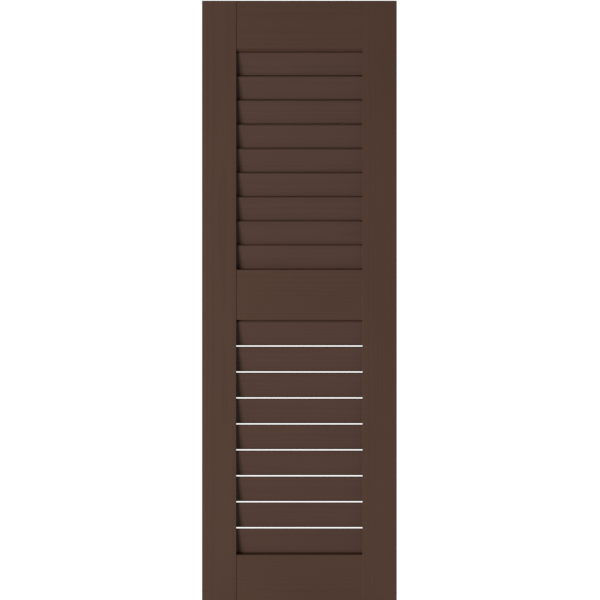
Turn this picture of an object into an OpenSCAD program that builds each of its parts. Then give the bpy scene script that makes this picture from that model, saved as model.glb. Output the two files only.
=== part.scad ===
// Louvred shutter, one leaf: a closed bank of louvres over an open bank.
// Two stiles and three slightly thinner rails make the frame, held by blind dowels. The
// louvres are fixed in stopped housings, with their top edges towards the front. A lip on the
// middle rail's back stops daylight over the open bank, and the bottom rail's top edge slopes
// to the front.
// X is the width, the front faces -Y and +Z is up. The origin is the centre of the back face.

/* [Leaf] */
// Width of the leaf over both stiles
shutter_w = 381; // [280:1:610]
// Height of the leaf
shutter_h = 1181; // [900:1:2400]
// Thickness of the stiles and rails
frame_t = 35; // [25:0.5:50]
// Radius of the eased edges along the stiles and rails
arris_r = 0.6; // [0.5:0.1:4]

/* [Stiles and rails] */
// Width of each stile
stile_w = 67; // [50:1:100]
// Depth of the rails' fronts behind the stiles' fronts; their backs are flush
rail_inset = 1.6; // [0.5:0.1:4]
// Height of the top rail
top_rail_h = 99.5; // [70:0.5:160]
// Bevel along the front of the top rail's lower edge
top_rail_bevel = 6; // [2:0.5:8]
// Height of the middle rail's front
mid_rail_h = 98.5; // [70:0.5:160]
// Least height of the bottom rail's front, which takes up what the louvre spacing leaves over
bottom_rail_least_h = 90; // [70:1:160]
// Rise of the bottom rail's top edge, which slopes to its front so that rain runs off
bottom_rail_slope = 3.6; // [0.5:0.1:8]

/* [Louvres] */
// Width of a louvre, from edge to edge along its slope
louvre_w = 49.5; // [40:0.5:64]
// Thickness of a louvre, whose two long edges are fully rounded
louvre_t = 8; // [5:0.5:10]
// Angle of a louvre from upright, in degrees
louvre_tilt = 12.5; // [10:0.5:24]
// Number of louvres in the closed upper bank
upper_louvres = 9; // [3:1:12]
// Height by which each louvre of the closed bank laps the next
closed_lap = 1.25; // [0:0.05:2]
// Height of the daylight between two louvres of the open bank
open_gap = 2.3; // [0.5:0.1:20]
// Gap between an end louvre and the rail that it all but touches
end_gap = 0.01; // [0.01:0.01:0.5]
// Gap under the middle rail's front, over the open bank's first louvre
open_head_gap = 1.3; // [0.1:0.1:4]
// Height by which the middle rail's lip laps that louvre, behind the gap
lip_lap = 1.5; // [0.5:0.1:3]
// Clearance between the lip and the louvre in front of it
lip_clearance = 1; // [0.3:0.1:2]

/* [Housings] */
// Depth of a louvre housing in the stile
housing_depth = 9.5; // [5:0.1:14]
// Clearance all round a louvre in its housing
housing_clearance = 0.1; // [0.05:0.05:0.3]
// Clearance between a louvre's end and the bottom of its housing
louvre_end_clearance = 0.5; // [0.2:0.1:1]

/* [Dowels] */
// Diameter of a dowel
dowel_d = 9.5; // [6:0.1:12]
// Length of a dowel, half in the rail and half in the stile
dowel_l = 60; // [40:1:76]
// Chamfer on the ends of a dowel
dowel_chamfer = 1.2; // [0.5:0.1:2]
// Distance of a dowel from the nearer edge of its rail
dowel_inset = 24; // [16:1:28]
// Clearance of a dowel's radius in its bore
dowel_clearance = 0.05; // [0.02:0.01:0.1]
// Room for glue beyond each end of a dowel
glue_room = 1.5; // [0.5:0.1:3]

/* [Hidden] */
$fn = 48;

// Widths
opening_w = shutter_w - 2 * stile_w;
half_opening = opening_w / 2;
louvre_l = opening_w + 2 * (housing_depth - louvre_end_clearance);
frame_mid_y = -frame_t / 2;
rail_t = frame_t - rail_inset;

// Louvre spacing, down the height of each bank
louvre_rise = (louvre_w - louvre_t) * cos(louvre_tilt) + louvre_t;
closed_pitch = louvre_rise - closed_lap;
open_pitch = louvre_rise + open_gap;
function bank_h(count, pitch) = (count - 1) * pitch + louvre_rise;
function louvres_in(room, pitch) = floor((room - louvre_rise) / pitch) + 1;

// Heights, from the top down
top_z = shutter_h / 2;
upper_bank_z = top_z - top_rail_h;
mid_rail_z = upper_bank_z - bank_h(upper_louvres, closed_pitch) - 2 * end_gap;
lower_bank_z = mid_rail_z - mid_rail_h;
lower_ends_h = open_head_gap + end_gap + bottom_rail_slope;
lower_room = lower_bank_z + shutter_h / 2 - bottom_rail_least_h - lower_ends_h;
lower_louvres = louvres_in(lower_room, open_pitch);
bottom_rail_z = lower_bank_z - bank_h(lower_louvres, open_pitch) - lower_ends_h;
bottom_rail_h = bottom_rail_z + shutter_h / 2;

function louvre_z(first_top, pitch, i) = first_top - louvre_rise / 2 - (i - 1) * pitch;
upper_louvre_z =
    [for (i = [1:upper_louvres]) louvre_z(upper_bank_z - end_gap, closed_pitch, i)];
lower_louvre_z =
    [for (i = [1:lower_louvres]) louvre_z(lower_bank_z - open_head_gap, open_pitch, i)];

// The middle rail's lip that stops daylight over the open bank
louvre_lean = (louvre_w - louvre_t) * sin(louvre_tilt) / 2;
lip_t = louvre_lean - frame_mid_y - louvre_t / 2 - lip_clearance;
lip_h = open_head_gap + lip_lap;

// Where the bottom rail's slope ends, just before the lowest line of its louvre
slope_end_y = frame_mid_y + louvre_lean - 1;

// Each rail, as the level of its front's top edge and its front's height
TOP_RAIL = [top_z, top_rail_h];
MID_RAIL = [mid_rail_z, mid_rail_h];
BOTTOM_RAIL = [bottom_rail_z, bottom_rail_h];

// A rectangle centred on the origin, with its four corners rounded
module eased_rectangle(w, h, r) {
    square([w - 2 * r, h], center = true);
    square([w, h - 2 * r], center = true);
    for (x = [-1, 1], y = [-1, 1])
        translate([x * (w / 2 - r), y * (h / 2 - r)]) circle(r);
}

// Extrudes a section drawn as [depth, height] along the width, centred on the leaf
module along_width(length) {
    rotate([90, 0, 90]) linear_extrude(length, center = true) children();
}

// The louvre's section, with its top edge tilted towards the front and grown all round
module louvre_section(grow = 0) {
    rotate(louvre_tilt) {
        square([louvre_t + 2 * grow, louvre_w - louvre_t], center = true);
        for (end = [-1, 1])
            translate([0, end * (louvre_w - louvre_t) / 2]) circle(louvre_t / 2 + grow);
    }
}

module louvre(z) {
    color("#513c33")
        translate([0, frame_mid_y, z]) along_width(louvre_l) louvre_section();
}

// The stopped housings that every louvre ends in, at the leaf's right
module housings() {
    for (z = concat(upper_louvre_z, lower_louvre_z))
        translate([half_opening, frame_mid_y, z])
            along_width(2 * housing_depth) louvre_section(housing_clearance);
}

// Places its children at a rail's two dowels, at the joint with the right stile
module at_dowels(rail) {
    for (z = [rail[0] - dowel_inset, rail[0] - rail[1] + dowel_inset])
        translate([half_opening, frame_mid_y, z]) rotate([0, 90, 0]) children();
}

module dowel_bores(rail) {
    at_dowels(rail)
        cylinder(h = dowel_l + 2 * glue_room, d = dowel_d + 2 * dowel_clearance, center = true);
}

module dowel() {
    r = dowel_d / 2;
    end = dowel_l / 2;
    half = [[0, end], [r - dowel_chamfer, end], [r, end - dowel_chamfer]];
    lower_half = [for (i = [len(half) - 1:-1:0]) [half[i][0], -half[i][1]]];
    rotate_extrude() polygon(concat(half, lower_half));
}

// The right stile, or its mirror image at the left
module stile() {
    color("#533f33") difference() {
        translate([half_opening + stile_w / 2, frame_mid_y, 0])
            linear_extrude(shutter_h, center = true) eased_rectangle(stile_w, frame_t, arris_r);
        housings();
        for (rail = [TOP_RAIL, MID_RAIL, BOTTOM_RAIL]) dowel_bores(rail);
    }
}

// A rail's section, from its back face and its front's middle height, with an optional bevel
// along the front of its lower edge and an optional rise behind its front top edge, which
// slopes back to the louvre and is flat behind it
module rail_section(height, bevel, rise) {
    edge = height / 2;
    difference() {
        translate([-rail_t / 2, rise / 2]) eased_rectangle(rail_t, height + rise, arris_r);
        if (bevel > 0)
            translate([-rail_t, -edge]) rotate(45) square(bevel * sqrt(2), center = true);
        if (rise > 0)
            polygon([
                [-rail_t - 1, edge - arris_r],
                [-rail_t, edge - arris_r],
                [-rail_t + arris_r, edge],
                [slope_end_y, edge + rise],
                [slope_end_y, edge + rise + 1],
                [-rail_t - 1, edge + rise + 1],
            ]);
    }
}

// A lip along the back of a rail, down past its lower edge
module lip_section(height) {
    reach = height / 2 + lip_h;
    translate([-lip_t / 2, -reach / 2]) eased_rectangle(lip_t, reach, arris_r);
}

// A rail, with an optional bevel, lip or slope
module rail(rail, bevel = 0, lip = false, slope = 0) {
    color("#503d34") difference() {
        translate([0, 0, rail[0] - rail[1] / 2]) along_width(opening_w) {
            rail_section(rail[1], bevel, slope);
            if (lip) lip_section(rail[1]);
        }
        for (side = [0, 1]) mirror([side, 0, 0]) dowel_bores(rail);
    }
}

// The four dowels that hold a rail, two at each end
module rail_dowels(rail) {
    color("#c9a77a")
        for (side = [0, 1]) mirror([side, 0, 0]) at_dowels(rail) dowel();
}

mirror([1, 0, 0]) stile();  // left_stile
stile();  // right_stile
rail(TOP_RAIL, top_rail_bevel);  // top_rail
rail(MID_RAIL, lip = true);  // mid_rail
rail(BOTTOM_RAIL, slope = bottom_rail_slope);  // bottom_rail
rail_dowels(TOP_RAIL);  // top_rail_dowels
rail_dowels(MID_RAIL);  // mid_rail_dowels
rail_dowels(BOTTOM_RAIL);  // bottom_rail_dowels
for (i = [1:upper_louvres])
    louvre(upper_louvre_z[i - 1]);
for (i = [1:lower_louvres])
    louvre(lower_louvre_z[i - 1]);
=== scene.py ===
import math
import random

import bmesh
import bpy
import numpy as np
from mathutils import Matrix, Vector


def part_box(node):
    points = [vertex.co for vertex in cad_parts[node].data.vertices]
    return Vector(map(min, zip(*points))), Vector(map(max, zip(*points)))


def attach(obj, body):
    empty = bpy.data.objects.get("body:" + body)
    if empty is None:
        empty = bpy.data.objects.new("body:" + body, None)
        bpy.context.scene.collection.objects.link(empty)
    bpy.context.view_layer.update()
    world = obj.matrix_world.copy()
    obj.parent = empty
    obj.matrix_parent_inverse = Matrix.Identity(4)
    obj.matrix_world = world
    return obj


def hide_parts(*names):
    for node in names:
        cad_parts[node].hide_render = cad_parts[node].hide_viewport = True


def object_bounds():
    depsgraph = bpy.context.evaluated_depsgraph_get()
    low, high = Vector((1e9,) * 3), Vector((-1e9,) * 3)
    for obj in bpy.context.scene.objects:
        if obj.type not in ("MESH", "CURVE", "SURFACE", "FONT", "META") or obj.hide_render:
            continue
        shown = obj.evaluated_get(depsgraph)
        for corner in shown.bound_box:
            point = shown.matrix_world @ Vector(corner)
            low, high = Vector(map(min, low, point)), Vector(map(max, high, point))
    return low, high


bl_info = {
    "name": "Louvred shutter",
    "version": (1, 0, 0),
    "blender": (4, 5, 0),
    "location": "3D View > Sidebar > Shutter",
    "description": "Builds a louvred shutter leaf in painted timber, with its studio",
    "category": "Object",
}

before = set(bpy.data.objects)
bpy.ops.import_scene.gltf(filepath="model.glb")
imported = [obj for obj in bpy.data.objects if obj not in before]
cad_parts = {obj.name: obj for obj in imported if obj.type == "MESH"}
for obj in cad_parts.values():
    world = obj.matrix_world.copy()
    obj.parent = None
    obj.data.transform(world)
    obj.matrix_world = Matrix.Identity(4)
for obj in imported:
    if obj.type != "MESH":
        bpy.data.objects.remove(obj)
CAD_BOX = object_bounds()

BODY = "root"
STILES = {"left_stile": -1, "right_stile": 1}
RAILS = ("top_rail", "mid_rail", "bottom_rail")
LOUVRES = sorted(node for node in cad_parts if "_louvre_" in node)

X, Y, Z = 0, 1, 2
LOW, HIGH = 0, 1

# The material slots that every board has, in this order
PAINTED, PAINTED_END, BARE = 0, 1, 2

# Names of the values that a board's mesh carries for its materials
BOARD_PLACE = "board_place"
ARRIS = "arris"

MILLIMETRE = 0.001
QUARTER_TURN = math.radians(90)

# A face counts as facing an axis when its normal has more than this share along it
FACING = 0.7

# A cut passes through a vertex that lies this near to it, rather than beside it
CUT_TOLERANCE = 1e-6

# Edges that turn by more than this are eased on a board, and are shaded as sharp
SHARP_ANGLE = math.radians(32)

# Flats that round the small edges at the boards' ends and along the bevel
EASE_STEPS = 3

# About how far the pith of its tree lies from a board's middle
STILE_PITH = 0.07
RAIL_PITH = 0.08
LOUVRE_PITH = 0.05
DOWEL_PITH = 0.03

# How far the growth rings wander from true circles, in pine and in beech
PINE_WANDER = 0.012
BEECH_WANDER = 0.004
BEECH_RING_SPACING = 0.0016

# How paint takes on the sides of a board and on its ends: its lightest and darkest shades, as
# shares of the paint's colour, how much the pores deepen it, and its roughness and relief
LONG_GRAIN = {"light": 1.07, "dark": 0.88, "pores": 0.12, "rougher": 0.0, "relief": 1.0}
END_GRAIN = {"light": 0.98, "dark": 0.70, "pores": 0.45, "rougher": 0.14, "relief": 2.2}
PAINT_IOR = 1.47

# How much the paint is made paler and smoother at the arrises, partly as wear and partly as a painted
# highlight along the edges; the louvres' edges are sheltered
ARRIS_WEAR_AND_HIGHLIGHT = 0.6
LOUVRE_WEAR_AND_HIGHLIGHT = 0.25

WHITE = (1.0, 1.0, 1.0)
WARM_WHITE = (1.0, 0.95, 0.89)
COOL_WHITE = (0.90, 0.96, 1.0)
PALE_GREY = (0.9, 0.9, 0.9)


# ---------------------------------------------------------------- settings


class ShutterSizes(bpy.types.PropertyGroup):
    """Sizes of the joinery that the leaf's outer boxes don't give"""

    arris: bpy.props.FloatProperty(
        name="Arris", description="Radius of the eased long edges of the stiles and rails",
        default=0.0006, min=0.0003, max=0.004, unit="LENGTH", precision=4)
    arris_steps: bpy.props.IntProperty(
        name="Arris steps", description="Flats that round each eased edge", default=4, min=2, max=12)
    end_ease: bpy.props.FloatProperty(
        name="End ease", description="Radius of the edges round the stiles' ends",
        default=0.0004, min=0.0002, max=0.002, unit="LENGTH", precision=4)
    top_rail_bevel: bpy.props.FloatProperty(
        name="Top rail bevel", description="Bevel along the front of the top rail's lower edge",
        default=0.006, min=0.002, max=0.008, unit="LENGTH", precision=4)
    lip_clearance: bpy.props.FloatProperty(
        name="Lip clearance", description="Clearance between the middle rail's lip and its louvre",
        default=0.001, min=0.0003, max=0.002, unit="LENGTH", precision=4)
    lip_height: bpy.props.FloatProperty(
        name="Lip height", description="Height of the lip under the middle rail, behind the louvre",
        default=0.0028, min=0.0006, max=0.007, unit="LENGTH", precision=4)
    bottom_rail_slope: bpy.props.FloatProperty(
        name="Bottom rail slope", description="Rise of the bottom rail's top edge, which sheds rain",
        default=0.0036, min=0.0005, max=0.008, unit="LENGTH", precision=4)
    louvre_thickness: bpy.props.FloatProperty(
        name="Louvre thickness", description="Thickness of a louvre, whose long edges are full rounds",
        default=0.008, min=0.005, max=0.01, unit="LENGTH", precision=4)
    round_steps: bpy.props.IntProperty(
        name="Louvre edge steps", description="Flats in each quarter of a louvre's round edge",
        default=8, min=3, max=16)
    housing_depth: bpy.props.FloatProperty(
        name="Housing depth", description="Depth of a louvre's housing in the stile",
        default=0.0095, min=0.005, max=0.014, unit="LENGTH", precision=4)
    housing_clearance: bpy.props.FloatProperty(
        name="Housing clearance", description="Clearance all round a louvre in its housing",
        default=0.0001, min=0.00005, max=0.0003, unit="LENGTH", precision=5)
    dowel_clearance: bpy.props.FloatProperty(
        name="Dowel clearance", description="Clearance round a dowel in its bore",
        default=0.00005, min=0.00002, max=0.0001, unit="LENGTH", precision=5)
    glue_room: bpy.props.FloatProperty(
        name="Glue room", description="Room for glue beyond each end of a dowel",
        default=0.0015, min=0.0005, max=0.003, unit="LENGTH", precision=4)
    dowel_chamfer: bpy.props.FloatProperty(
        name="Dowel chamfer", description="Chamfer on the ends of a dowel",
        default=0.0012, min=0.0005, max=0.002, unit="LENGTH", precision=4)
    flutes: bpy.props.IntProperty(
        name="Flutes", description="Flutes round a dowel, a multiple of four", default=24, min=8, max=48)
    flute_depth: bpy.props.FloatProperty(
        name="Flute depth", description="Depth of a dowel's flutes",
        default=0.0003, min=0.0001, max=0.0006, unit="LENGTH", precision=4)


class ShutterFinish(bpy.types.PropertyGroup):
    """Paint and timber of the leaf"""

    frame_paint: bpy.props.FloatVectorProperty(
        name="Frame paint", description="Paint on the stiles and rails", subtype="COLOR",
        default=(0.0845, 0.0433, 0.0290), min=0.0, max=1.0)
    # The louvres carry the frame's paint made lighter and bluer, a painted lightening that makes up for
    # the downward-tilted louvres catching less of the key light and its gloss
    louvre_paint: bpy.props.FloatVectorProperty(
        name="Louvre paint", description="Paint on the louvres", subtype="COLOR",
        default=(0.0870, 0.0468, 0.0345), min=0.0, max=1.0)
    early_wood: bpy.props.FloatVectorProperty(
        name="Early wood", description="Pale spring growth of the bare timber", subtype="COLOR",
        default=(0.60, 0.41, 0.23), min=0.0, max=1.0)
    late_wood: bpy.props.FloatVectorProperty(
        name="Late wood", description="Dark summer growth of the bare timber", subtype="COLOR",
        default=(0.36, 0.20, 0.09), min=0.0, max=1.0)
    dowel_wood: bpy.props.FloatVectorProperty(
        name="Dowel wood", description="Beech of the dowels", subtype="COLOR",
        default=(0.58, 0.39, 0.20), min=0.0, max=1.0)
    sheen: bpy.props.FloatProperty(
        name="Paint roughness", description="Roughness of the satin paint",
        default=0.36, min=0.1, max=1.0, subtype="FACTOR")
    shine: bpy.props.FloatProperty(
        name="Paint shine", description="Strength of the paint's mirror reflection",
        default=0.22, min=0.0, max=1.0, subtype="FACTOR")
    ring_spacing: bpy.props.FloatProperty(
        name="Ring spacing", description="Distance between growth rings",
        default=0.0042, min=0.001, max=0.01, unit="LENGTH", precision=4)
    grain_relief: bpy.props.FloatProperty(
        name="Grain relief",
        description="Height of the grain that shows through the paint, in millimetres",
        default=0.03, min=0.0, max=0.2)
    brush_relief: bpy.props.FloatProperty(
        name="Brush relief", description="Height of the marks in the paint film, in millimetres",
        default=0.012, min=0.0, max=0.1)


class ShutterStudio(bpy.types.PropertyGroup):
    """Camera, lights and floor"""

    picture_height: bpy.props.FloatProperty(
        name="Picture height", description="Height of the view at the leaf's front",
        default=1.1738, min=0.5, max=4.0, unit="LENGTH")
    sight: bpy.props.FloatVectorProperty(
        name="Sight", description="Point that the camera looks at, in the leaf's middle plane",
        default=(0.0012, 0.0049), size=2, subtype="XYZ", unit="LENGTH", precision=4)
    lens: bpy.props.FloatProperty(
        name="Lens", description="Focal length; a long one keeps the louvres parallel", default=1000.0,
        min=50.0, max=2000.0, unit="CAMERA")
    key_power: bpy.props.FloatProperty(
        name="Key power", description="Power of the key light", default=121.0, min=0.0, unit="POWER")
    key_side: bpy.props.FloatProperty(
        name="Key side", description="Angle of the key light left of the camera",
        default=math.radians(34), subtype="ANGLE")
    key_distance: bpy.props.FloatProperty(
        name="Key distance", description="Distance of the key light", default=4.0, unit="LENGTH")
    key_height: bpy.props.FloatProperty(
        name="Key height", description="Height of the key light over the leaf's middle",
        default=-0.2, unit="LENGTH")
    key_size: bpy.props.FloatVectorProperty(
        name="Key size", description="Width and height of the key light", default=(1.76, 0.4), size=2,
        unit="LENGTH")
    rear_power: bpy.props.FloatProperty(
        name="Rear power", description="Power of the light on the leaf's back", default=34.0, min=0.0,
        unit="POWER")
    rear_distance: bpy.props.FloatProperty(
        name="Rear distance", description="Distance of the rear light", default=2.6, unit="LENGTH")
    rear_height: bpy.props.FloatProperty(
        name="Rear height", description="Height of the rear light over the leaf's middle",
        default=1.3, unit="LENGTH")
    rear_size: bpy.props.FloatVectorProperty(
        name="Rear size", description="Width and height of the rear light", default=(1.2, 1.2), size=2,
        unit="LENGTH")
    rear_side: bpy.props.FloatProperty(
        name="Rear side", description="Angle of the rear light right of the camera",
        default=math.radians(128), subtype="ANGLE")
    fill: bpy.props.FloatProperty(
        name="Fill", description="Brightness of the room that fills the shadows", default=0.25, min=0.0)
    backdrop: bpy.props.FloatProperty(
        name="Backdrop", description="Brightness of the white surround that the camera sees",
        default=1.05, min=0.0)
    floor_near: bpy.props.FloatProperty(
        name="Floor", description="Radius within which the floor is solid", default=0.8, unit="LENGTH")
    floor_far: bpy.props.FloatProperty(
        name="Floor fade", description="Radius by which the floor has faded out", default=2.3,
        unit="LENGTH")
    floor_glow: bpy.props.FloatProperty(
        name="Floor glow", description="Light that the camera sees in the floor beside its own shade",
        default=0.72, min=0.0)


# ---------------------------------------------------------------- shader building blocks


def feed(tree, socket, value):
    """Links an input socket to another node's output, or sets it to a plain value"""
    if isinstance(value, bpy.types.NodeSocket):
        tree.links.new(value, socket)
    else:
        socket.default_value = value


def shader_node(tree, kind, inputs=None, **settings):
    """Adds a node, sets it, and links or sets its inputs by name or number"""
    node = tree.nodes.new(kind)
    column_width = 180
    node.location = (column_width * len(tree.nodes), 0)
    for name, value in settings.items():
        setattr(node, name, value)
    for name, value in (inputs or {}).items():
        feed(tree, node.inputs[name], value)
    return node


def maths(tree, operation, first, second=0.0, clamp=False):
    """One step of arithmetic on two values, as an output socket"""
    inputs = {0: first, 1: second}
    return shader_node(tree, "ShaderNodeMath", inputs, operation=operation, use_clamp=clamp).outputs[0]


def vector_maths(tree, operation, first, second=(0, 0, 0)):
    """One step of arithmetic on two vectors, as the node"""
    return shader_node(tree, "ShaderNodeVectorMath", {0: first, 1: second}, operation=operation)


def noise(tree, place, frequency, detail=2.0, roughness=0.5):
    """Noise from 0 to 1 with its own frequency along, across and through the board"""
    stretched = vector_maths(tree, "MULTIPLY", place, frequency).outputs[0]
    inputs = {"Vector": stretched, "Scale": 1.0, "Detail": detail, "Roughness": roughness}
    return shader_node(tree, "ShaderNodeTexNoise", inputs).outputs["Fac"]


def ramp(tree, value, low, high):
    """Rises smoothly from 0 to 1 while value goes from low to high"""
    inputs = {"Value": value, "From Min": low, "From Max": high}
    return shader_node(
        tree, "ShaderNodeMapRange", inputs, interpolation_type="SMOOTHSTEP").outputs["Result"]


def mix_colours(tree, amount, first, second):
    """Mixes two colours, as an output socket"""
    first_colour, second_colour, mixed_colour = 6, 7, 2
    inputs = {"Factor": amount, first_colour: first, second_colour: second}
    return shader_node(tree, "ShaderNodeMix", inputs, data_type="RGBA").outputs[mixed_colour]


def new_group(name, inputs, outputs):
    """A shader node group with named sockets, as (tree, its input node, its output node)"""
    tree = bpy.data.node_groups.new(name, "ShaderNodeTree")
    for label, kind, default in inputs:
        socket = tree.interface.new_socket(label, in_out="INPUT", socket_type=kind)
        if default is not None:
            socket.default_value = default
    for label, kind in outputs:
        tree.interface.new_socket(label, in_out="OUTPUT", socket_type=kind)
    return tree, tree.nodes.new("NodeGroupInput"), tree.nodes.new("NodeGroupOutput")


def place_group(tree, group, inputs):
    """Puts a node group into a material with its own values, and gives its outputs"""
    return shader_node(tree, "ShaderNodeGroup", inputs, node_tree=group).outputs


def rgba(colour):
    """A colour as a socket takes it, with full opacity"""
    return (*colour, 1.0)


def scaled(colour, share):
    """A colour made lighter or darker"""
    return rgba([channel * share for channel in colour])


# ---------------------------------------------------------------- shared effects


def timber_grain():
    """Growth rings about the pith, which lies at the board place's own axis, and the pores"""
    name = "timber_grain"
    if name in bpy.data.node_groups:
        return bpy.data.node_groups[name]
    tree, given, result = new_group(
        name,
        [
            ("Board Place", "NodeSocketVector", None),
            ("Ring Spacing", "NodeSocketFloat", 0.004),
            ("Wander", "NodeSocketFloat", 0.012),
        ],
        [("Late Wood", "NodeSocketFloat"), ("Pores", "NodeSocketFloat"), ("Figure", "NodeSocketFloat")],
    )
    place = given.outputs["Board Place"]
    from_pith = vector_maths(tree, "LENGTH", vector_maths(tree, "MULTIPLY", place, (0, 1, 1)).outputs[0])
    sway = maths(tree, "SUBTRACT", noise(tree, place, (1.6, 9, 9), 2.0), 0.5)
    wobble = maths(tree, "SUBTRACT", noise(tree, place, (9, 60, 60), 2.0), 0.5)
    bend = maths(tree, "MULTIPLY", sway, given.outputs["Wander"])
    ripple = maths(tree, "MULTIPLY", wobble, maths(tree, "MULTIPLY", given.outputs["Wander"], 0.12))
    radius = maths(tree, "ADD", maths(tree, "ADD", from_pith.outputs["Value"], bend), ripple)
    turn = maths(tree, "FRACT", maths(tree, "DIVIDE", radius, given.outputs["Ring Spacing"]))
    # each ring darkens slowly towards its late wood and ends sharply
    rise = ramp(tree, turn, 0.25, 0.92)
    fall = ramp(tree, turn, 1.0, 0.94)
    late = maths(tree, "MULTIPLY", rise, fall)
    pores = ramp(tree, noise(tree, place, (110, 2100, 2100), 1.0), 0.60, 0.74)
    tree.links.new(late, result.inputs["Late Wood"])
    tree.links.new(pores, result.inputs["Pores"])
    tree.links.new(noise(tree, place, (5, 45, 45), 3.0), result.inputs["Figure"])
    return tree


def paint_film():
    """Brush marks along the board and the fine peel of the film"""
    name = "paint_film"
    if name in bpy.data.node_groups:
        return bpy.data.node_groups[name]
    tree, given, result = new_group(
        name,
        [("Board Place", "NodeSocketVector", None)],
        [("Height", "NodeSocketFloat"), ("Cloud", "NodeSocketFloat"), ("Streak", "NodeSocketFloat")],
    )
    place = given.outputs["Board Place"]
    strokes = noise(tree, place, (7, 620, 620), 2.0, 0.6)
    peel = noise(tree, place, (650, 650, 650), 1.0)
    height = maths(tree, "ADD", maths(tree, "MULTIPLY", strokes, 0.7), maths(tree, "MULTIPLY", peel, 0.3))
    tree.links.new(height, result.inputs["Height"])
    tree.links.new(noise(tree, place, (6, 11, 11), 2.0), result.inputs["Cloud"])
    tree.links.new(noise(tree, place, (3, 150, 150), 2.0), result.inputs["Streak"])
    return tree


def arris_rub():
    """Paint that is thinner, smoother and paler over the eased edges: partly wear, partly a painted
    highlight along the arrises
    """
    name = "arris_rub"
    if name in bpy.data.node_groups:
        return bpy.data.node_groups[name]
    tree, given, result = new_group(
        name,
        [
            ("Board Place", "NodeSocketVector", None),
            ("Colour", "NodeSocketColor", None),
            ("Roughness", "NodeSocketFloat", 0.5),
            ("Amount", "NodeSocketFloat", 0.5),
        ],
        [("Colour", "NodeSocketColor"), ("Roughness", "NodeSocketFloat")],
    )
    arris = shader_node(tree, "ShaderNodeAttribute", attribute_name=ARRIS, attribute_type="GEOMETRY")
    patches = ramp(tree, noise(tree, given.outputs["Board Place"], (28, 90, 90), 3.0), 0.35, 0.7)
    wear_and_highlight_mask = maths(tree, "MULTIPLY", arris.outputs["Fac"], patches)
    wear_and_highlight_mask = maths(tree, "MULTIPLY", wear_and_highlight_mask, given.outputs["Amount"], clamp=True)
    # the arrises are painted paler: partly worn paint, partly a painted highlight where the rounded edges
    # turn to the light
    paler_wear_and_highlight = shader_node(
        tree, "ShaderNodeHueSaturation",
        {"Color": given.outputs["Colour"], "Value": 1.22, "Saturation": 0.96}).outputs["Color"]
    tree.links.new(mix_colours(tree, wear_and_highlight_mask, given.outputs["Colour"], paler_wear_and_highlight), result.inputs["Colour"])
    smoother = maths(tree, "MULTIPLY", wear_and_highlight_mask, 0.12)
    roughness = maths(tree, "SUBTRACT", given.outputs["Roughness"], smoother)
    tree.links.new(roughness, result.inputs["Roughness"])
    return tree


def board_place(tree):
    """Where a point lies in its board: along the grain, across it and through it, from the pith"""
    return shader_node(
        tree, "ShaderNodeAttribute", attribute_name=BOARD_PLACE, attribute_type="GEOMETRY"
    ).outputs["Vector"]


def new_material(name):
    """An empty material, as (material, tree, its shader)"""
    material = bpy.data.materials.new(name)
    material.use_nodes = True
    tree = material.node_tree
    tree.nodes.clear()
    shader = shader_node(tree, "ShaderNodeBsdfPrincipled")
    shader_node(tree, "ShaderNodeOutputMaterial", {"Surface": shader.outputs["BSDF"]})
    return material, tree, shader


def relief(tree, shader, height):
    """Turns a height in millimetres into the shader's normal"""
    bump = shader_node(
        tree, "ShaderNodeBump", {"Height": height, "Distance": MILLIMETRE, "Strength": 1.0})
    tree.links.new(bump.outputs["Normal"], shader.inputs["Normal"])


def painted_timber(name, colour, finish, surface):
    """Satin paint over timber, whose grain shows through as faint relief"""
    if name in bpy.data.materials:
        return bpy.data.materials[name]
    material, tree, shader = new_material(name)
    place = board_place(tree)
    spacing = {"Board Place": place, "Ring Spacing": finish.ring_spacing}
    grain = place_group(tree, timber_grain(), spacing)
    film = place_group(tree, paint_film(), {"Board Place": place})

    # the paint is a touch deeper in clouds, over late wood and in the pores
    depth = maths(tree, "MULTIPLY", film["Cloud"], 0.55)
    depth = maths(tree, "ADD", depth, maths(tree, "MULTIPLY", film["Streak"], 0.35))
    depth = maths(tree, "ADD", depth, maths(tree, "MULTIPLY", grain["Late Wood"], 0.22))
    depth = maths(tree, "ADD", depth, maths(tree, "MULTIPLY", grain["Pores"], surface["pores"]))
    amount = ramp(tree, depth, 0.2, 1.1)
    light, dark = scaled(colour, surface["light"]), scaled(colour, surface["dark"])
    shade = mix_colours(tree, amount, light, dark)

    gloss = maths(tree, "MULTIPLY", maths(tree, "SUBTRACT", film["Streak"], 0.5), 0.16)
    roughness = maths(tree, "ADD", gloss, finish.sheen + surface["rougher"])
    # paler paint at the arrises, partly wear and partly a painted highlight
    worn_and_highlit = place_group(tree, arris_rub(), {
        "Board Place": place, "Colour": shade, "Roughness": roughness, "Amount": ARRIS_WEAR_AND_HIGHLIGHT})
    tree.links.new(worn_and_highlit["Colour"], shader.inputs["Base Color"])
    tree.links.new(worn_and_highlit["Roughness"], shader.inputs["Roughness"])

    grain_height = finish.grain_relief * surface["relief"]
    pore_depth = 0.6 * grain_height
    height = maths(tree, "MULTIPLY", grain["Late Wood"], grain_height)
    height = maths(tree, "SUBTRACT", height, maths(tree, "MULTIPLY", grain["Pores"], pore_depth))
    height = maths(tree, "ADD", height, maths(tree, "MULTIPLY", film["Height"], finish.brush_relief))
    relief(tree, shader, height)
    shader.inputs["IOR"].default_value = PAINT_IOR
    shader.inputs["Specular IOR Level"].default_value = finish.shine
    return material


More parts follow.
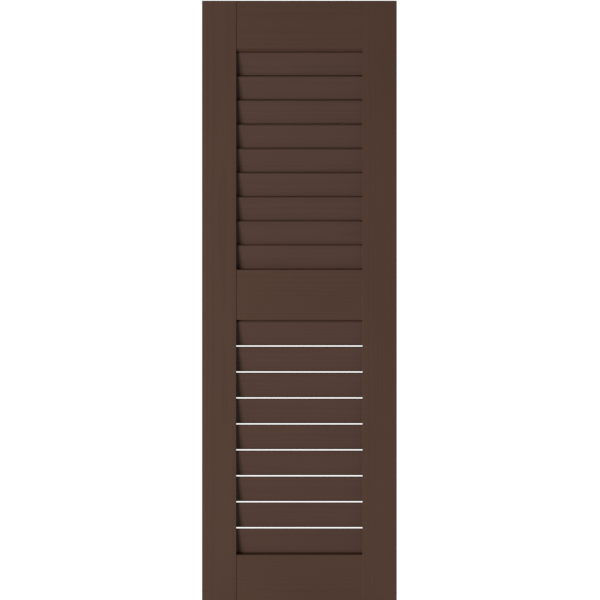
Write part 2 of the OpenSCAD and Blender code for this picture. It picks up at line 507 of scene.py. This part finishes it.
def bare_timber(name, early, late, spacing, wander):
    """Planed, unpainted wood"""
    if name in bpy.data.materials:
        return bpy.data.materials[name]
    material, tree, shader = new_material(name)
    place = board_place(tree)
    grain = place_group(tree, timber_grain(), {
        "Board Place": place, "Ring Spacing": spacing, "Wander": wander})
    ringed = mix_colours(tree, grain["Late Wood"], rgba(early), rgba(late))
    between = rgba([(a + b) / 2 for a, b in zip(early, late)])
    figure = maths(tree, "MULTIPLY", ramp(tree, grain["Figure"], 0.35, 0.75), 0.3)
    figured = mix_colours(tree, figure, ringed, between)
    pores = maths(tree, "MULTIPLY", grain["Pores"], 0.6)
    pored = mix_colours(tree, pores, figured, scaled(late, 0.45))
    tree.links.new(pored, shader.inputs["Base Color"])
    roughness = maths(tree, "SUBTRACT", 0.78, maths(tree, "MULTIPLY", grain["Late Wood"], 0.14))
    tree.links.new(roughness, shader.inputs["Roughness"])
    height = maths(tree, "SUBTRACT", maths(tree, "MULTIPLY", grain["Late Wood"], 0.04),
                   maths(tree, "MULTIPLY", grain["Pores"], 0.06))
    relief(tree, shader, height)
    return material


def board_materials(kind, colour, finish):
    """The three finishes of a board, in the order of its slots"""
    return [
        painted_timber(f"painted_{kind}", colour, finish, LONG_GRAIN),
        painted_timber(f"painted_{kind}_end", colour, finish, END_GRAIN),
        bare_timber(
            "bare_pine", finish.early_wood, finish.late_wood, finish.ring_spacing, PINE_WANDER),
    ]


# ---------------------------------------------------------------- mesh building blocks


def bar(low, high):
    """A plain bar between two corners"""
    bm = bmesh.new()
    bmesh.ops.create_cube(bm, size=1.0)
    bmesh.ops.scale(bm, vec=high - low, verts=bm.verts)
    bmesh.ops.translate(bm, vec=(low + high) / 2, verts=bm.verts)
    return bm


def edges_along(bm, axis):
    """The edges that run along an axis"""
    parallel = 0.999
    return [
        e for e in bm.edges
        if abs((e.verts[0].co - e.verts[1].co).normalized()[axis]) > parallel
    ]


def edge_middle(edge):
    """The point half-way along an edge"""
    return (edge.verts[0].co + edge.verts[1].co) / 2


def round_edges(bm, edges, radius, steps):
    """Rounds edges with a number of flats; one flat makes a plain bevel"""
    bmesh.ops.bevel(
        bm, geom=edges, offset=radius, offset_type="OFFSET", segments=steps, profile=0.5,
        affect="EDGES", material=-1, clamp_overlap=False)


def round_edged_bar(length, width, thickness, steps):
    """A bar along X whose section, upright in the YZ plane, has two full round edges"""
    half = Vector((length, thickness, width)) / 2
    bm = bar(-half, half)
    nearly_half = 0.4999
    round_edges(bm, edges_along(bm, X), thickness * nearly_half, steps)
    return bm


def to_mesh(bm, name):
    """Turns a bmesh into a mesh, and frees it"""
    mesh = bpy.data.meshes.new(name)
    bm.to_mesh(mesh)
    bm.free()
    return mesh


def cut(piece, cutters):
    """Takes the cutters, a list of bmeshes, out of a piece; the cut faces are bare timber"""
    joined = bmesh.new()
    for bm in cutters:
        part = to_mesh(bm, "cutter")
        joined.from_mesh(part)
        bpy.data.meshes.remove(part)
    for face in joined.faces:
        face.material_index = BARE
    cutter = bpy.data.objects.new("cutter", to_mesh(joined, "cutter"))
    for slot in piece.data.materials:
        cutter.data.materials.append(slot)
    bpy.context.scene.collection.objects.link(cutter)

    modifier = piece.modifiers.new("cut", "BOOLEAN")
    modifier.operation = "DIFFERENCE"
    modifier.solver = "EXACT"
    modifier.object = cutter
    whole = piece.data
    evaluated = piece.evaluated_get(bpy.context.evaluated_depsgraph_get())
    piece.data = bpy.data.meshes.new_from_object(evaluated)
    piece.modifiers.clear()
    piece.data.name = piece.name
    bpy.data.meshes.remove(whole)
    cutter_mesh = cutter.data
    bpy.data.objects.remove(cutter)
    bpy.data.meshes.remove(cutter_mesh)


def new_piece(name, bm, materials):
    """An object in the scene, at the origin, made of a bmesh and its materials"""
    piece = bpy.data.objects.new(name, to_mesh(bm, name))
    for material in materials:
        piece.data.materials.append(material)
    bpy.context.scene.collection.objects.link(piece)
    return piece


def vertex_places(mesh):
    """The places of a mesh's vertices, one to a row"""
    places = np.empty(len(mesh.vertices) * 3)
    mesh.vertices.foreach_get("co", places)
    return places.reshape(-1, 3)


def mark_board(piece, along, across, pith, arris):
    """Stores each vertex's place in its board, from the pith, and how far it is round an arris"""
    mesh = piece.data
    places = vertex_places(mesh)
    along, across = Vector(along), Vector(across)
    axes = np.array([along, across, along.cross(across)])
    rng = random.Random(piece.name)
    log_length = 4.0
    nearest, farthest = 0.6, 1.3
    start = np.array([
        rng.uniform(0.0, log_length),
        rng.uniform(-pith, pith),
        rng.uniform(nearest, farthest) * pith,
    ])
    inside = places - places.mean(axis=0)
    place = mesh.attributes.new(BOARD_PLACE, "FLOAT_VECTOR", "POINT")
    place.data.foreach_set("vector", (inside @ axes.T + start).astype(np.float32).ravel())
    rub = mesh.attributes.new(ARRIS, "FLOAT", "POINT")
    rub.data.foreach_set("value", arris.astype(np.float32))


def round_of_box(piece, low, high, radius, axes):
    """How far each vertex is round an eased edge of its box: 0 on the flats and 1 half-way round"""
    places = vertex_places(piece.data)
    inset = [np.minimum(places[:, a] - low[a], high[a] - places[:, a]) for a in axes]
    middle_inset = 1 - math.cos(QUARTER_TURN / 2)
    share = inset[0] * inset[1] / (radius * middle_inset) ** 2
    within = (inset[0] < radius) & (inset[1] < radius)
    return np.where(within, np.clip(share, 0.0, 1.0), 0.0)


def finish_piece(piece, node):
    """Shades the piece evenly, hangs it under its body and hides its CAD node"""
    mesh = piece.data
    mesh.polygons.foreach_set("use_smooth", [True] * len(mesh.polygons))
    mesh.set_sharp_from_angle(angle=SHARP_ANGLE)
    even = piece.modifiers.new("even shading", "WEIGHTED_NORMAL")
    even.keep_sharp = True
    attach(piece, BODY)
    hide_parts(node)


# ---------------------------------------------------------------- the leaf's own measures


# Distance of the stiles' inner edges from the leaf's middle
INNER_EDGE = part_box("right_stile")[LOW].x


class Louvre:
    """A louvre's place, width and tilt, worked out from its outer box"""

    def __init__(self, node, thickness):
        low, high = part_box(node)
        self.middle = (low + high) / 2
        self.length = high.x - low.x
        leaning = high.y - low.y - thickness
        standing = high.z - low.z - thickness
        self.width = math.hypot(leaning, standing) + thickness
        self.tilt = math.atan2(leaning, standing)
        self.lean = leaning / 2
        self.thickness = thickness

    def bar(self, length, x, steps, grow=0.0):
        """The louvre's section as a bar about x, with its top edge towards the front"""
        bm = round_edged_bar(length, self.width + 2 * grow, self.thickness + 2 * grow, steps)
        turned = Matrix.Rotation(self.tilt, 3, "X")
        bmesh.ops.rotate(bm, matrix=turned, verts=bm.verts)
        bmesh.ops.translate(bm, vec=(x, self.middle.y, self.middle.z), verts=bm.verts)
        return bm


class Dowels:
    """The size and places of a rail's four dowels, worked out from their outer box"""

    def __init__(self, rail):
        low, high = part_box(f"{rail}_dowels")
        self.radius = (high.y - low.y) / 2
        self.length = 2 * (high.x - INNER_EDGE)
        self.y = (low.y + high.y) / 2
        self.levels = (low.z + self.radius, high.z - self.radius)

    def bores(self, side, sizes, steps=48):
        """The bores at one end of the rail, as bmeshes"""
        made = []
        for level in self.levels:
            bm = bmesh.new()
            radius = self.radius + sizes.dowel_clearance
            bmesh.ops.create_cone(
                bm, cap_ends=True, segments=steps, radius1=radius, radius2=radius,
                depth=self.length + 2 * sizes.glue_room)
            bmesh.ops.rotate(bm, matrix=Matrix.Rotation(QUARTER_TURN, 3, "Y"), verts=bm.verts)
            bmesh.ops.translate(bm, vec=(side * INNER_EDGE, self.y, level), verts=bm.verts)
            made.append(bm)
        return made


# ---------------------------------------------------------------- the pieces


class SHUTTER_OT_stiles(bpy.types.Operator):
    """Builds the two stiles, with their louvre housings and dowel bores"""

    bl_idname = "shutter.stiles"
    bl_label = "Stiles"

    def execute(self, context):
        sizes, finish = context.scene.shutter_sizes, context.scene.shutter_finish
        materials = board_materials("frame", finish.frame_paint, finish)
        for node, side in STILES.items():
            low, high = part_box(node)
            bm = bar(low, high)
            round_edges(bm, edges_along(bm, Z), sizes.arris, sizes.arris_steps)
            bm.normal_update()
            ends = [f for f in bm.faces if abs(f.normal.z) > FACING]
            rim = [e for f in ends for e in f.edges]
            round_edges(bm, rim, sizes.end_ease, EASE_STEPS)
            bm.normal_update()
            for face in bm.faces:
                face.material_index = PAINTED_END if abs(face.normal.z) > FACING else PAINTED
            piece = new_piece(f"{node}_board", bm, materials)

            housings = [
                Louvre(louvre, sizes.louvre_thickness).bar(
                    2 * sizes.housing_depth, side * INNER_EDGE, sizes.round_steps,
                    sizes.housing_clearance)
                for louvre in LOUVRES
            ]
            bores = [bore for rail in RAILS for bore in Dowels(rail).bores(side, sizes)]
            cut(piece, housings + bores)
            arris = round_of_box(piece, low, high, sizes.arris, (X, Y))
            mark_board(piece, (0, 0, 1), (1, 0, 0), STILE_PITH, arris)
            finish_piece(piece, node)
        return {"FINISHED"}


class SHUTTER_OT_rails(bpy.types.Operator):
    """Builds the three rails, with their bevel, lip, slope and dowel bores"""

    bl_idname = "shutter.rails"
    bl_label = "Rails"

    def execute(self, context):
        sizes, finish = context.scene.shutter_sizes, context.scene.shutter_finish
        materials = board_materials("frame", finish.frame_paint, finish)
        for node in RAILS:
            low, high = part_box(node)
            bm = self.shape(node, low, high, sizes)
            for face in bm.faces:
                face.material_index = BARE if abs(face.normal.x) > FACING else PAINTED
            piece = new_piece(f"{node}_board", bm, materials)
            cut(piece, [bore for side in (-1, 1) for bore in Dowels(node).bores(side, sizes)])
            arris = round_of_box(piece, low, high, sizes.arris, (Y, Z))
            mark_board(piece, (1, 0, 0), (0, 0, 1), RAIL_PITH, arris)
            finish_piece(piece, node)
        return {"FINISHED"}

    def shape(self, node, low, high, sizes):
        """A rail between two corners, with its lip, slope or bevel, and with its edges eased"""
        louvre = Louvre(LOUVRES[0], sizes.louvre_thickness)
        if node == "mid_rail":
            bm = bar(low + Vector((0, 0, sizes.lip_height)), high)
            lip_front = louvre.middle.y - louvre.lean + louvre.thickness / 2 + sizes.lip_clearance
            self.lip(bm, lip_front, sizes.lip_height)
        else:
            bm = bar(low, high)
        if node == "bottom_rail":
            slope_end = louvre.middle.y + louvre.lean - MILLIMETRE
            self.slope(bm, slope_end, sizes.bottom_rail_slope)

        eased = [e for e in edges_along(bm, X) if e.is_convex and e.calc_face_angle() > SHARP_ANGLE]
        bevelled = []
        if node == "top_rail":
            bevelled = [e for e in eased if (edge_middle(e) - low).yz.length < MILLIMETRE]
        eased = [e for e in eased if e not in bevelled]
        round_edges(bm, eased, sizes.arris, sizes.arris_steps)
        if bevelled:
            self.bevel(bm, bevelled, sizes)
        bm.normal_update()
        return bm

    def split_end(self, bm, outward, y):
        """Splits a bar's upper (1) or lower (-1) face at a level of Y, and gives its parts in order"""
        bm.normal_update()
        face = max(bm.faces, key=lambda f: f.normal.z * outward)
        around = [face, *face.edges, *face.verts]
        bmesh.ops.bisect_plane(
            bm, geom=around, dist=CUT_TOLERANCE, plane_co=(0, y, 0), plane_no=(0, 1, 0))
        bm.normal_update()
        parts = [f for f in bm.faces if f.normal.z * outward > FACING]
        return sorted(parts, key=lambda f: f.calc_center_median().y)

    def lip(self, bm, lip_front, height):
        """Draws a bar's lower face, where it lies behind lip_front, down into a lip"""
        back = self.split_end(bm, -1, lip_front)[-1]
        made = bmesh.ops.extrude_face_region(bm, geom=[back])["geom"]
        tip = [v for v in made if isinstance(v, bmesh.types.BMVert)]
        bmesh.ops.translate(bm, vec=(0, 0, -height), verts=tip)
        bmesh.ops.delete(bm, geom=[back], context="FACES")
        bm.normal_update()

    def slope(self, bm, slope_end, rise):
        """Slopes a bar's upper face down to its front"""
        front = self.split_end(bm, 1, slope_end)[0]
        foremost = min(v.co.y for v in front.verts)
        edge = [v for v in front.verts if v.co.y < foremost + MILLIMETRE]
        bmesh.ops.translate(bm, vec=(0, 0, -rise), verts=edge)
        bm.normal_update()

    def bevel(self, bm, edges, sizes):
        """Bevels the edges and eases the bevel's own two edges"""
        round_edges(bm, edges, sizes.top_rail_bevel, 1)
        bm.normal_update()
        slope = max(bm.faces, key=lambda f: -f.normal.y - f.normal.z)
        along = edges_along(bm, X)
        round_edges(bm, [e for e in slope.edges if e in along], sizes.end_ease, EASE_STEPS)


class SHUTTER_OT_louvres(bpy.types.Operator):
    """Builds the louvres of both banks, painted where they show and bare in their housings"""

    bl_idname = "shutter.louvres"
    bl_label = "Louvres"

    def execute(self, context):
        sizes, finish = context.scene.shutter_sizes, context.scene.shutter_finish
        # the louvres' paint is lightened against the frame's to make up for the light they lose by their
        # tilt: painted light
        materials = board_materials("louvre", finish.louvre_paint, finish)
        for node in LOUVRES:
            louvre = Louvre(node, sizes.louvre_thickness)
            bm = louvre.bar(louvre.length, louvre.middle.x, sizes.round_steps)
            for side in (-1, 1):
                whole = list(bm.verts) + list(bm.edges) + list(bm.faces)
                mouth = (side * INNER_EDGE, 0, 0)
                bmesh.ops.bisect_plane(
                    bm, geom=whole, dist=CUT_TOLERANCE, plane_co=mouth, plane_no=(1, 0, 0))
            for face in bm.faces:
                hidden = abs(face.calc_center_median().x) > INNER_EDGE
                face.material_index = BARE if hidden else PAINTED
            piece = new_piece(f"{node}_blade", bm, materials)

            up = Vector((0, -math.sin(louvre.tilt), math.cos(louvre.tilt)))
            from_middle = vertex_places(piece.data) - np.array(louvre.middle)
            beyond_flat = np.abs(from_middle @ np.array(up)) - (louvre.width - louvre.thickness) / 2
            # the louvres' rounded edges get a weaker share of the paler paint: wear and a painted
            # highlight
            arris = LOUVRE_WEAR_AND_HIGHLIGHT * np.clip(beyond_flat / (louvre.thickness / 2), 0.0, 1.0)
            mark_board(piece, (1, 0, 0), up, LOUVRE_PITH, arris)
            finish_piece(piece, node)
        return {"FINISHED"}


class SHUTTER_OT_dowels(bpy.types.Operator):
    """Builds the fluted dowels that hold the rails"""

    bl_idname = "shutter.dowels"
    bl_label = "Dowels"

    def execute(self, context):
        sizes, finish = context.scene.shutter_sizes, context.scene.shutter_finish
        pale = finish.dowel_wood
        late_share = 0.74
        dark = [channel * late_share for channel in pale]
        beech = bare_timber("beech_dowel_wood", pale, dark, BEECH_RING_SPACING, BEECH_WANDER)
        for rail in RAILS:
            dowels = Dowels(rail)
            joined = bmesh.new()
            for side in (-1, 1):
                for level in dowels.levels:
                    mesh = to_mesh(self.dowel(dowels, sizes), "dowel")
                    mesh.transform(Matrix.Translation((side * INNER_EDGE, dowels.y, level)))
                    joined.from_mesh(mesh)
                    bpy.data.meshes.remove(mesh)
            piece = new_piece(f"{rail}_dowel_set", joined, [beech])
            no_arris = np.zeros(len(piece.data.vertices))
            mark_board(piece, (1, 0, 0), (0, 0, 1), DOWEL_PITH, no_arris)
            finish_piece(piece, f"{rail}_dowels")
        return {"FINISHED"}

    def dowel(self, dowels, sizes):
        """One dowel along X, with shallow flutes and chamfered ends"""
        corners_per_flute = 3
        corners = corners_per_flute * sizes.flutes
        bm = bmesh.new()
        bmesh.ops.create_cone(
            bm, cap_ends=True, segments=corners, radius1=dowels.radius, radius2=dowels.radius,
            depth=dowels.length)
        in_flute = []
        for vert in bm.verts:
            corner = round(math.atan2(vert.co.y, vert.co.x) / math.tau * corners) % corners
            if corner % corners_per_flute == 1:
                in_flute.append(vert)
        deeper = 1 - sizes.flute_depth / dowels.radius
        bmesh.ops.scale(bm, vec=(deeper, deeper, 1), verts=in_flute)
        ends = [f for f in bm.faces if len(f.verts) == corners]
        bmesh.ops.inset_region(bm, faces=ends, thickness=sizes.dowel_chamfer, use_even_offset=True)
        caps = {v for f in ends for v in f.verts}
        sides = [v for v in bm.verts if v not in caps]
        shorter = 1 - sizes.dowel_chamfer / (dowels.length / 2)
        bmesh.ops.scale(bm, vec=(1, 1, shorter), verts=sides)
        bmesh.ops.rotate(bm, matrix=Matrix.Rotation(QUARTER_TURN, 3, "Y"), verts=bm.verts)
        return bm


# ---------------------------------------------------------------- the studio


class SHUTTER_OT_camera(bpy.types.Operator):
    """Places the camera square in front of the leaf"""

    bl_idname = "shutter.camera"
    bl_label = "Camera"

    def execute(self, context):
        studio = context.scene.shutter_studio
        data = bpy.data.cameras.new("camera")
        data.lens = studio.lens
        distance = studio.picture_height * data.lens / data.sensor_width
        data.clip_end = 4 * distance
        camera = bpy.data.objects.new("camera", data)
        camera.location = (studio.sight[0], CAD_BOX[LOW].y - distance, studio.sight[1])
        camera.rotation_euler = (QUARTER_TURN, 0, 0)
        context.scene.collection.objects.link(camera)
        context.scene.camera = camera
        return {"FINISHED"}


class SHUTTER_OT_studio(bpy.types.Operator):
    """Sets up the white surround, the pale floor and the soft lights"""

    bl_idname = "shutter.studio"
    bl_label = "Studio"

    def execute(self, context):
        studio = context.scene.shutter_studio
        context.scene.view_settings.view_transform = "Standard"
        self.surround(context.scene, studio)
        self.floor(context.scene, studio)
        self.soft_light(context.scene, "key_light", -studio.key_side, studio.key_distance,
                        studio.key_height, studio.key_size, studio.key_power, WARM_WHITE)
        self.soft_light(context.scene, "rear_light", studio.rear_side, studio.rear_distance,
                        studio.rear_height, studio.rear_size, studio.rear_power, WHITE)
        return {"FINISHED"}

    def surround(self, scene, studio):
        """White where the camera looks past the leaf, and a dimmer room for everything else"""
        world = bpy.data.worlds.new("surround")
        world.use_nodes = True
        tree = world.node_tree
        tree.nodes.clear()
        white = shader_node(
            tree, "ShaderNodeBackground", {"Color": rgba(WHITE), "Strength": studio.backdrop})
        room = shader_node(
            tree, "ShaderNodeBackground", {"Color": rgba(COOL_WHITE), "Strength": studio.fill})
        seen = shader_node(tree, "ShaderNodeLightPath").outputs["Is Camera Ray"]
        mixed = shader_node(
            tree, "ShaderNodeMixShader", {0: seen, 1: room.outputs[0], 2: white.outputs[0]})
        shader_node(tree, "ShaderNodeOutputWorld", {"Surface": mixed.outputs[0]})
        scene.world = world

    def floor(self, scene, studio):
        """A round floor at the leaf's foot that fades into the surround"""
        material = bpy.data.materials.new("studio_floor")
        material.use_nodes = True
        tree = material.node_tree
        tree.nodes.clear()
        place = shader_node(tree, "ShaderNodeTexCoord").outputs["Object"]
        flat = vector_maths(tree, "MULTIPLY", place, (1, 1, 0)).outputs[0]
        radius = vector_maths(tree, "LENGTH", flat).outputs["Value"]
        fade = ramp(tree, radius, studio.floor_near, studio.floor_far)
        seen = shader_node(tree, "ShaderNodeLightPath").outputs["Is Camera Ray"]
        glow = maths(tree, "MULTIPLY", seen, studio.floor_glow)
        paper = shader_node(tree, "ShaderNodeBsdfPrincipled", {
            "Base Color": rgba(PALE_GREY), "Roughness": 0.9, "Specular IOR Level": 0.1,
            "Emission Color": rgba(WHITE), "Emission Strength": glow})
        clear = shader_node(tree, "ShaderNodeBsdfTransparent")
        mixed = shader_node(
            tree, "ShaderNodeMixShader", {0: fade, 1: paper.outputs[0], 2: clear.outputs[0]})
        shader_node(tree, "ShaderNodeOutputMaterial", {"Surface": mixed.outputs[0]})

        bm = bmesh.new()
        bmesh.ops.create_circle(bm, cap_ends=True, segments=96, radius=studio.floor_far)
        bmesh.ops.translate(bm, vec=(0, 0, CAD_BOX[LOW].z - MILLIMETRE), verts=bm.verts)
        floor = new_piece("studio_floor", bm, [material])

    def soft_light(self, scene, name, side, distance, height, size, power, colour):
        """A soft light, turned side radians right of the camera, that faces the leaf"""
        data = bpy.data.lights.new(name, "AREA")
        data.shape = "RECTANGLE"
        data.size, data.size_y = size
        data.energy = power
        data.color = colour
        light = bpy.data.objects.new(name, data)
        light.location = (math.sin(side) * distance, -math.cos(side) * distance, height)
        light.rotation_euler = (-light.location).to_track_quat("-Z", "Y").to_euler()
        light.visible_camera = False
        scene.collection.objects.link(light)


# ---------------------------------------------------------------- panel and registration


class SHUTTER_PT_panel(bpy.types.Panel):
    """Lists the steps that build the leaf, with their settings"""

    bl_label = "Louvred shutter"
    bl_idname = "SHUTTER_PT_panel"
    bl_space_type = "VIEW_3D"
    bl_region_type = "UI"
    bl_category = "Shutter"

    def draw(self, context):
        scene = context.scene
        for settings in (scene.shutter_sizes, scene.shutter_finish, scene.shutter_studio):
            box = self.layout.box()
            for name in settings.__annotations__:
                box.prop(settings, name)
        for operator in STEPS:
            self.layout.operator(operator.bl_idname)


STEPS = (
    SHUTTER_OT_camera,
    SHUTTER_OT_studio,
    SHUTTER_OT_stiles,
    SHUTTER_OT_rails,
    SHUTTER_OT_louvres,
    SHUTTER_OT_dowels,
)
CLASSES = (ShutterSizes, ShutterFinish, ShutterStudio, *STEPS, SHUTTER_PT_panel)


def register():
    """Registers the settings, steps and panel"""
    for cls in CLASSES:
        bpy.utils.register_class(cls)
    bpy.types.Scene.shutter_sizes = bpy.props.PointerProperty(type=ShutterSizes)
    bpy.types.Scene.shutter_finish = bpy.props.PointerProperty(type=ShutterFinish)
    bpy.types.Scene.shutter_studio = bpy.props.PointerProperty(type=ShutterStudio)


def unregister():
    """Takes the settings, steps and panel away again"""
    del bpy.types.Scene.shutter_studio
    del bpy.types.Scene.shutter_finish
    del bpy.types.Scene.shutter_sizes
    for cls in reversed(CLASSES):
        bpy.utils.unregister_class(cls)


def main():
    """Builds the whole leaf and its studio"""
    register()
    bpy.ops.shutter.camera()
    bpy.ops.shutter.studio()
    bpy.ops.shutter.stiles()
    bpy.ops.shutter.rails()
    bpy.ops.shutter.louvres()
    bpy.ops.shutter.dowels()


if __name__ == "__main__":
    main()
